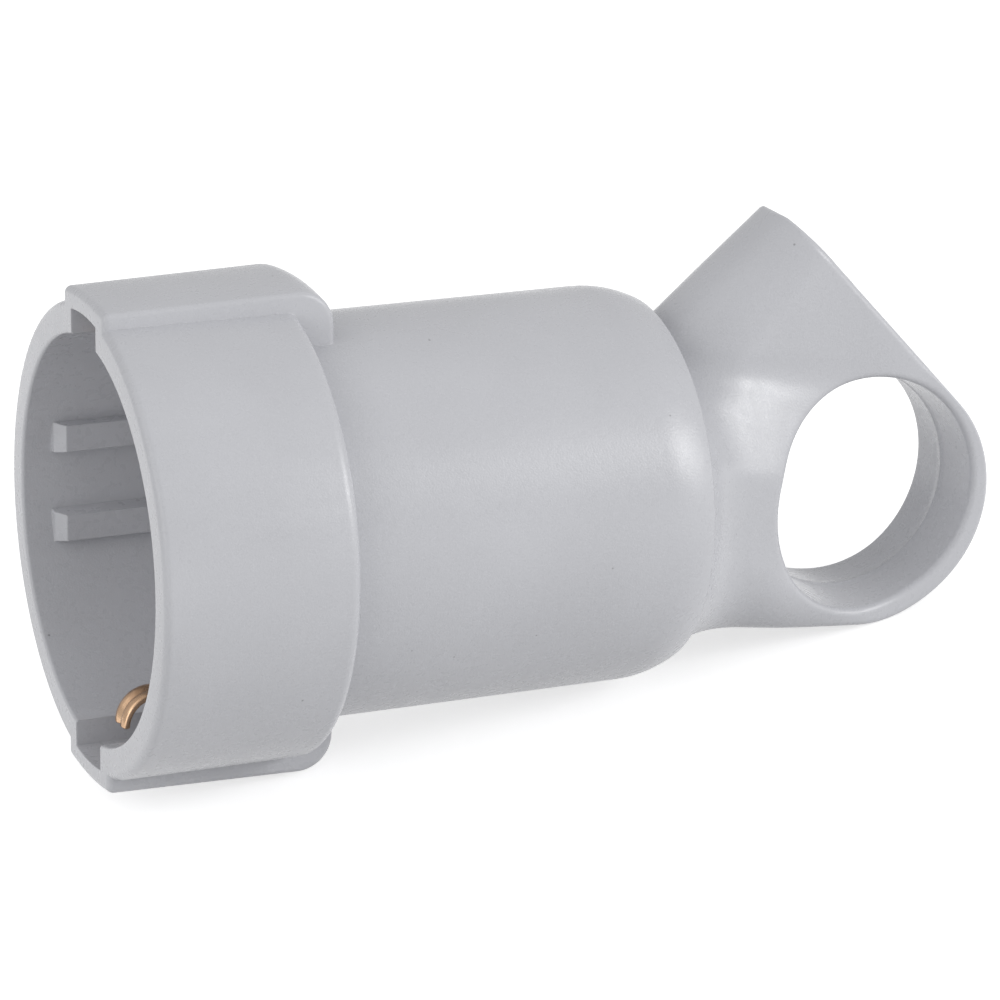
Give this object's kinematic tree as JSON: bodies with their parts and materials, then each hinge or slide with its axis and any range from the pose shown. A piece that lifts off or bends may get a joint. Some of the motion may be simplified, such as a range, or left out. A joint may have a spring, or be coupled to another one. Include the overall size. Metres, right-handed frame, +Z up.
{
  "type": "in-line power socket",
  "caption": "Grey round in-line mains socket with a keyed plug well, sprung earth clip, plain cylindrical grip and a finger ring handle with a slanted cable outlet.",
  "frame": {"origin": "centre of the plug well's mouth, on the front rim", "axes": "+X along the socket axis from the mouth to the finger ring, +Z up through the upper key, +Y across the pins"},
  "size_m": [0.0941, 0.0458, 0.0505],
  "materials": {
    "shell_plastic": "fine spark-eroded moulding grain, light grey",
    "handle_plastic": "fine spark-eroded moulding grain, light grey",
    "carrier_plastic": "smooth off-white moulding",
    "contact_brass": "turned, bright",
    "spring_steel": "rolled strip",
    "earth_bronze": "bronze strip, lightly tarnished",
    "screw_steel": "zinc plated"
  },
  "bodies": {
    "root": {"outer_shell": "shell_plastic", "ring_handle": "handle_plastic", "contact_carrier": "carrier_plastic", "live_contact": "contact_brass", "neutral_contact": "contact_brass", "contact_springs": "spring_steel", "earth_clip": "earth_bronze", "earth_terminal": "contact_brass", "terminal_screws": "screw_steel", "centre_screw": "screw_steel", "centre_insert": "contact_brass", "cord_clamp_bar": "screw_steel", "cord_clamp_screws": "screw_steel", "cord_clamp_nuts": "screw_steel"}
  },
  "joints": []
}
